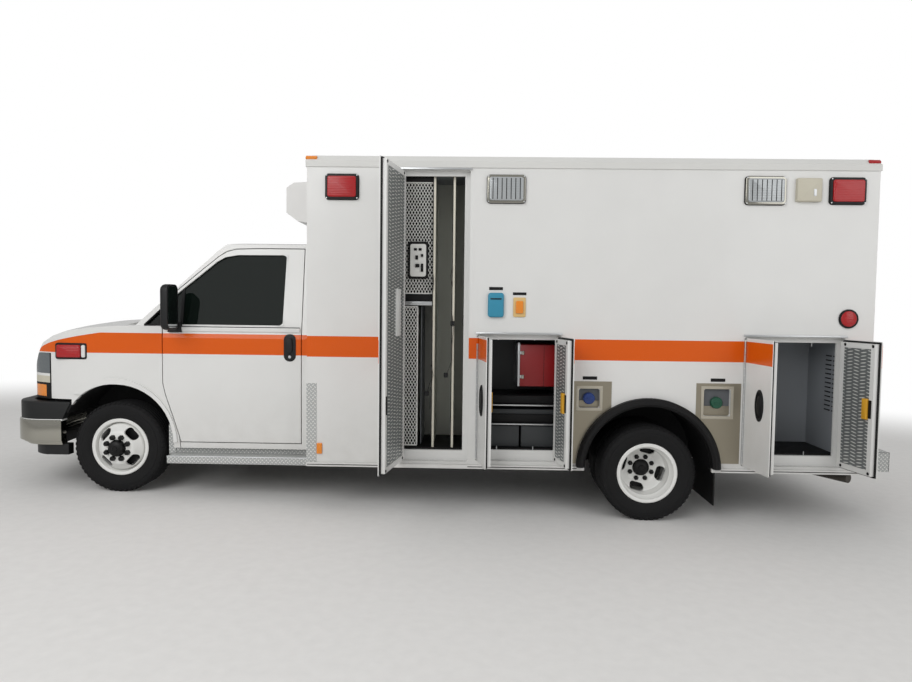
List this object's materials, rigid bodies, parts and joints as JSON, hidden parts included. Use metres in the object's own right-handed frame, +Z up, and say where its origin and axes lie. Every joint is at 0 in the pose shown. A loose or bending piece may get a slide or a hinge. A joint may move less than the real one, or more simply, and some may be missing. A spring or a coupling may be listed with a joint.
{
  "type": "ambulance with a box module on a cutaway van chassis",
  "caption": "Ambulance with a van cab, a box patient module with outside compartments and opening doors, steered front wheels and twin rear wheels.",
  "frame": {"origin": "on the ground under the centre of the vehicle's box at rest, its open doors included", "axes": "+X towards the rear of the vehicle, +Y towards the curb side, +Z up"},
  "size_m": [6.6408, 3.0076, 2.6878],
  "materials": {
    "white_paint": "gloss",
    "wheel_paint": "gloss",
    "chassis_black": "satin",
    "cast_metal": "rough",
    "chrome_bumper": "polished",
    "tread_plate": "bright",
    "liner_grey": "speckled",
    "window_glass": "tinted",
    "lamp_lens": "clear",
    "black_plastic": "grained",
    "interior_vinyl": "grained",
    "black_rubber": "matt",
    "tyre": "matt",
    "exhaust_steel": "dull"
  },
  "bodies": {
    "root": {"frame_rails": "chassis_black", "frame_crossmembers": "chassis_black", "powertrain": "cast_metal", "fuel_tank": "chassis_black", "exhaust": "exhaust_steel", "front_suspension": "chassis_black", "rear_axle": "cast_metal", "cab_shell": "white_paint", "front_fenders": "white_paint", "grille": "black_plastic", "front_bumper": "chrome_bumper", "windshield": "window_glass", "cab_interior": "interior_vinyl", "lamps": "lamp_lens", "steps": "tread_plate", "wheel_flares": "black_rubber", "module_wall_left": "white_paint", "module_wall_right": "white_paint", "module_wall_front": "white_paint", "module_wall_rear": "white_paint", "module_roof": "white_paint", "module_floor": "liner_grey", "compartments": "liner_grey", "condenser": "white_paint", "wheelhouses": "liner_grey", "entry_step": "liner_grey"},
    "steering_left": {"knuckle_left": "cast_metal"},
    "front_wheel_left": {"front_rim_left": "wheel_paint", "front_tyre_left": "tyre"},
    "rear_wheels_left": {"rear_rims_left": "wheel_paint", "rear_tyres_left": "tyre"},
    "steering_right": {"knuckle_right": "cast_metal"},
    "front_wheel_right": {"front_rim_right": "wheel_paint", "front_tyre_right": "tyre"},
    "rear_wheels_right": {"rear_rims_right": "wheel_paint", "rear_tyres_right": "tyre"},
    "hood": {"hood": "white_paint"},
    "cab_door_left": {"cab_door_left": "white_paint", "door_glass_left": "window_glass", "mirror_left": "black_plastic"},
    "cab_door_right": {"cab_door_right": "white_paint", "door_glass_right": "window_glass", "mirror_right": "black_plastic"},
    "tall_door": {"tall_door": "white_paint"},
    "mid_door_front": {"mid_door_front": "white_paint"},
    "mid_door_rear": {"mid_door_rear": "white_paint"},
    "bay_door_front": {"bay_door_front": "white_paint"},
    "bay_door_rear": {"bay_door_rear": "white_paint"},
    "curb_bay_door": {"curb_bay_door": "white_paint"},
    "entry_door": {"entry_door": "white_paint", "entry_glass": "window_glass"},
    "rear_door_left": {"rear_door_left": "white_paint", "rear_glass_left": "window_glass"},
    "rear_door_right": {"rear_door_right": "white_paint", "rear_glass_right": "window_glass"}
  },
  "joints": [
    {"name": "steer_left", "type": "hinge", "parent": "root", "child": "steering_left", "pos_m": [-2.55069, -0.576, 0.352], "axis": [0, 0, 1], "range_deg": [-32, 32]},
    {"name": "spin_front_left", "type": "hinge", "parent": "steering_left", "child": "front_wheel_left", "pos_m": [-2.55069, -0.656, 0.352], "axis": [0, 1, 0], "continuous": true},
    {"name": "spin_rear_left", "type": "hinge", "parent": "root", "child": "rear_wheels_left", "pos_m": [1.48828, -0.736, 0.352], "axis": [0, 1, 0], "continuous": true},
    {"name": "steer_right", "type": "hinge", "parent": "root", "child": "steering_right", "pos_m": [-2.55069, 1.044, 0.352], "axis": [0, 0, 1], "range_deg": [-32, 32]},
    {"name": "spin_front_right", "type": "hinge", "parent": "steering_right", "child": "front_wheel_right", "pos_m": [-2.55069, 1.124, 0.352], "axis": [0, 1, 0], "continuous": true},
    {"name": "spin_rear_right", "type": "hinge", "parent": "root", "child": "rear_wheels_right", "pos_m": [1.48828, 1.204, 0.352], "axis": [0, 1, 0], "continuous": true},
    {"name": "hood_hinge", "type": "hinge", "parent": "root", "child": "hood", "pos_m": [-2.51915, 0.234, 1.32813], "axis": [0, 1, 0], "range_deg": [0, 50]},
    {"name": "cab_door_left_hinge", "type": "hinge", "parent": "root", "child": "cab_door_left", "pos_m": [-2.21297, -0.769, 0.86875], "axis": [0.022, 0, -0.9998], "range_deg": [0, 68]},
    {"name": "cab_door_right_hinge", "type": "hinge", "parent": "root", "child": "cab_door_right", "pos_m": [-2.21297, 1.237, 0.86875], "axis": [-0.022, 0, 0.9998], "range_deg": [0, 68]},
    {"name": "tall_door_hinge", "type": "hinge", "parent": "root", "child": "tall_door", "pos_m": [-0.37821, -0.991, 1.44573], "axis": [0.022, 0, -0.9998], "range_deg": [-100, 5]},
    {"name": "mid_door_front_hinge", "type": "hinge", "parent": "root", "child": "mid_door_front", "pos_m": [0.21162, -0.991, 0.86856], "axis": [0.022, 0, -0.9998], "range_deg": [-80, 20]},
    {"name": "mid_door_rear_hinge", "type": "hinge", "parent": "root", "child": "mid_door_rear", "pos_m": [0.81947, -0.991, 0.88192], "axis": [-0.022, 0, 0.9998], "range_deg": [-102, 5]},
    {"name": "bay_door_front_hinge", "type": "hinge", "parent": "root", "child": "bay_door_front", "pos_m": [2.15318, -0.991, 0.90975], "axis": [0.022, 0, -0.9998], "range_deg": [-84, 16]},
    {"name": "bay_door_rear_hinge", "type": "hinge", "parent": "root", "child": "bay_door_rear", "pos_m": [2.86901, -0.991, 0.92549], "axis": [-0.022, 0, 0.9998], "range_deg": [-101, 5]},
    {"name": "curb_bay_door_hinge", "type": "hinge", "parent": "root", "child": "curb_bay_door", "pos_m": [2.15318, 1.459, 0.90975], "axis": [-0.022, 0, 0.9998], "range_deg": [0, 100]},
    {"name": "entry_door_hinge", "type": "hinge", "parent": "root", "child": "entry_door", "pos_m": [-0.58203, 1.459, 1.38973], "axis": [-0.022, 0, 0.9998], "range_deg": [0, 95]},
    {"name": "rear_door_left_hinge", "type": "hinge", "parent": "root", "child": "rear_door_left", "pos_m": [3.06091, -0.406, 1.65989], "axis": [0.022, 0, -0.9998], "range_deg": [0, 110]},
    {"name": "rear_door_right_hinge", "type": "hinge", "parent": "root", "child": "rear_door_right", "pos_m": [3.06091, 0.874, 1.65989], "axis": [-0.022, 0, 0.9998], "range_deg": [0, 110]}
  ],
  "couplings": [
    {"joint": "steer_right", "follows": "steer_left", "ratio": 1}
  ]
}
